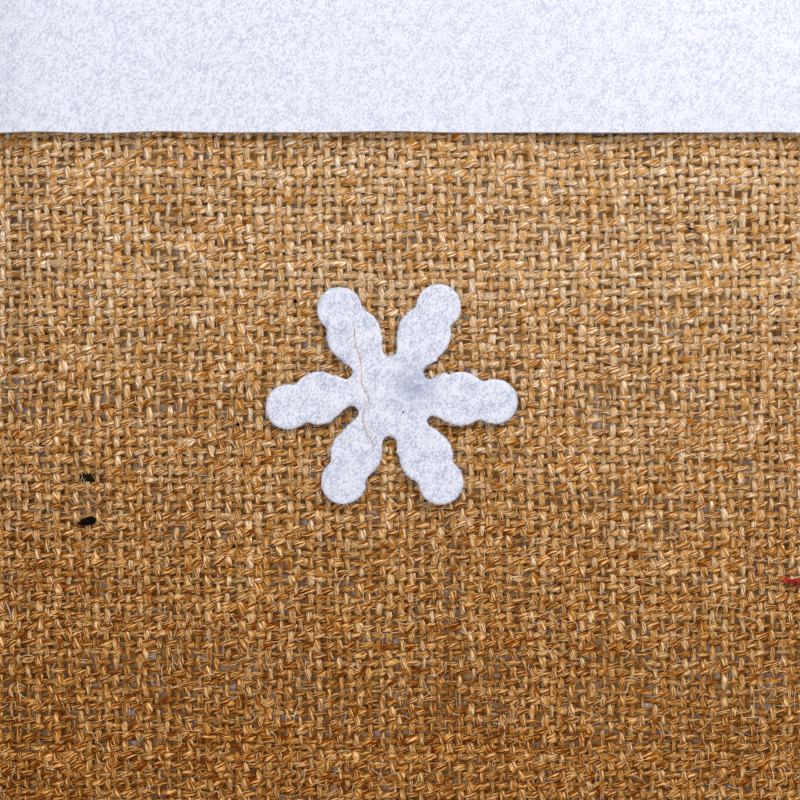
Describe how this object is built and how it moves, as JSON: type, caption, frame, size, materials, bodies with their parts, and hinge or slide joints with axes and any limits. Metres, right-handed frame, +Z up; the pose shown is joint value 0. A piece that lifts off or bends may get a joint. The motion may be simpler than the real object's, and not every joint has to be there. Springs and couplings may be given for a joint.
{
  "type": "hanging stocking",
  "caption": "Hanging Christmas stocking of natural burlap with a cotton lining, a white felt cuff, a felt snowflake on the leg, red whip stitches round the edge and a knotted twine loop.",
  "frame": {"origin": "the point inside the top of the hanging loop that rests on the hook", "axes": "+Z up, the front with the snowflake faces -Y, the toe points to -X"},
  "size_m": [0.3067, 0.0204, 0.4852],
  "materials": {
    "burlap": "plain-woven natural jute, matt and hairy",
    "cotton_lining": "plain white cotton",
    "white_felt": "thin white felt, slightly mottled",
    "red_yarn": "twisted red wool yarn",
    "jute_twine": "twisted jute twine"
  },
  "bodies": {
    "loop": {"hanging_loop": "jute_twine"},
    "knot": {"loop_knot": "jute_twine"},
    "stocking": {"front_panel": "burlap", "back_panel": "burlap", "front_lining": "cotton_lining", "back_lining": "cotton_lining", "cuff_front": "white_felt", "cuff_back": "white_felt", "snowflake": "white_felt", "loop_end_left": "jute_twine", "loop_end_right": "jute_twine", "instep_side_stitches": "red_yarn", "toe_stitches": "red_yarn", "sole_stitches": "red_yarn", "heel_side_stitches": "red_yarn", "cuff_toe_side_stitches": "red_yarn", "cuff_heel_side_stitches": "red_yarn", "loop_tack_lower": "red_yarn", "loop_tack_upper": "red_yarn"}
  },
  "joints": [
    {"name": "side_swing", "type": "hinge", "parent": "loop", "child": "knot", "pos_m": [0, 0, -0.066], "axis": [0, 1, 0], "range_deg": [-35, 35]},
    {"name": "front_swing", "type": "hinge", "parent": "knot", "child": "stocking", "pos_m": [0, 0, -0.066], "axis": [-1, 0, 0], "range_deg": [-15, 60]}
  ]
}
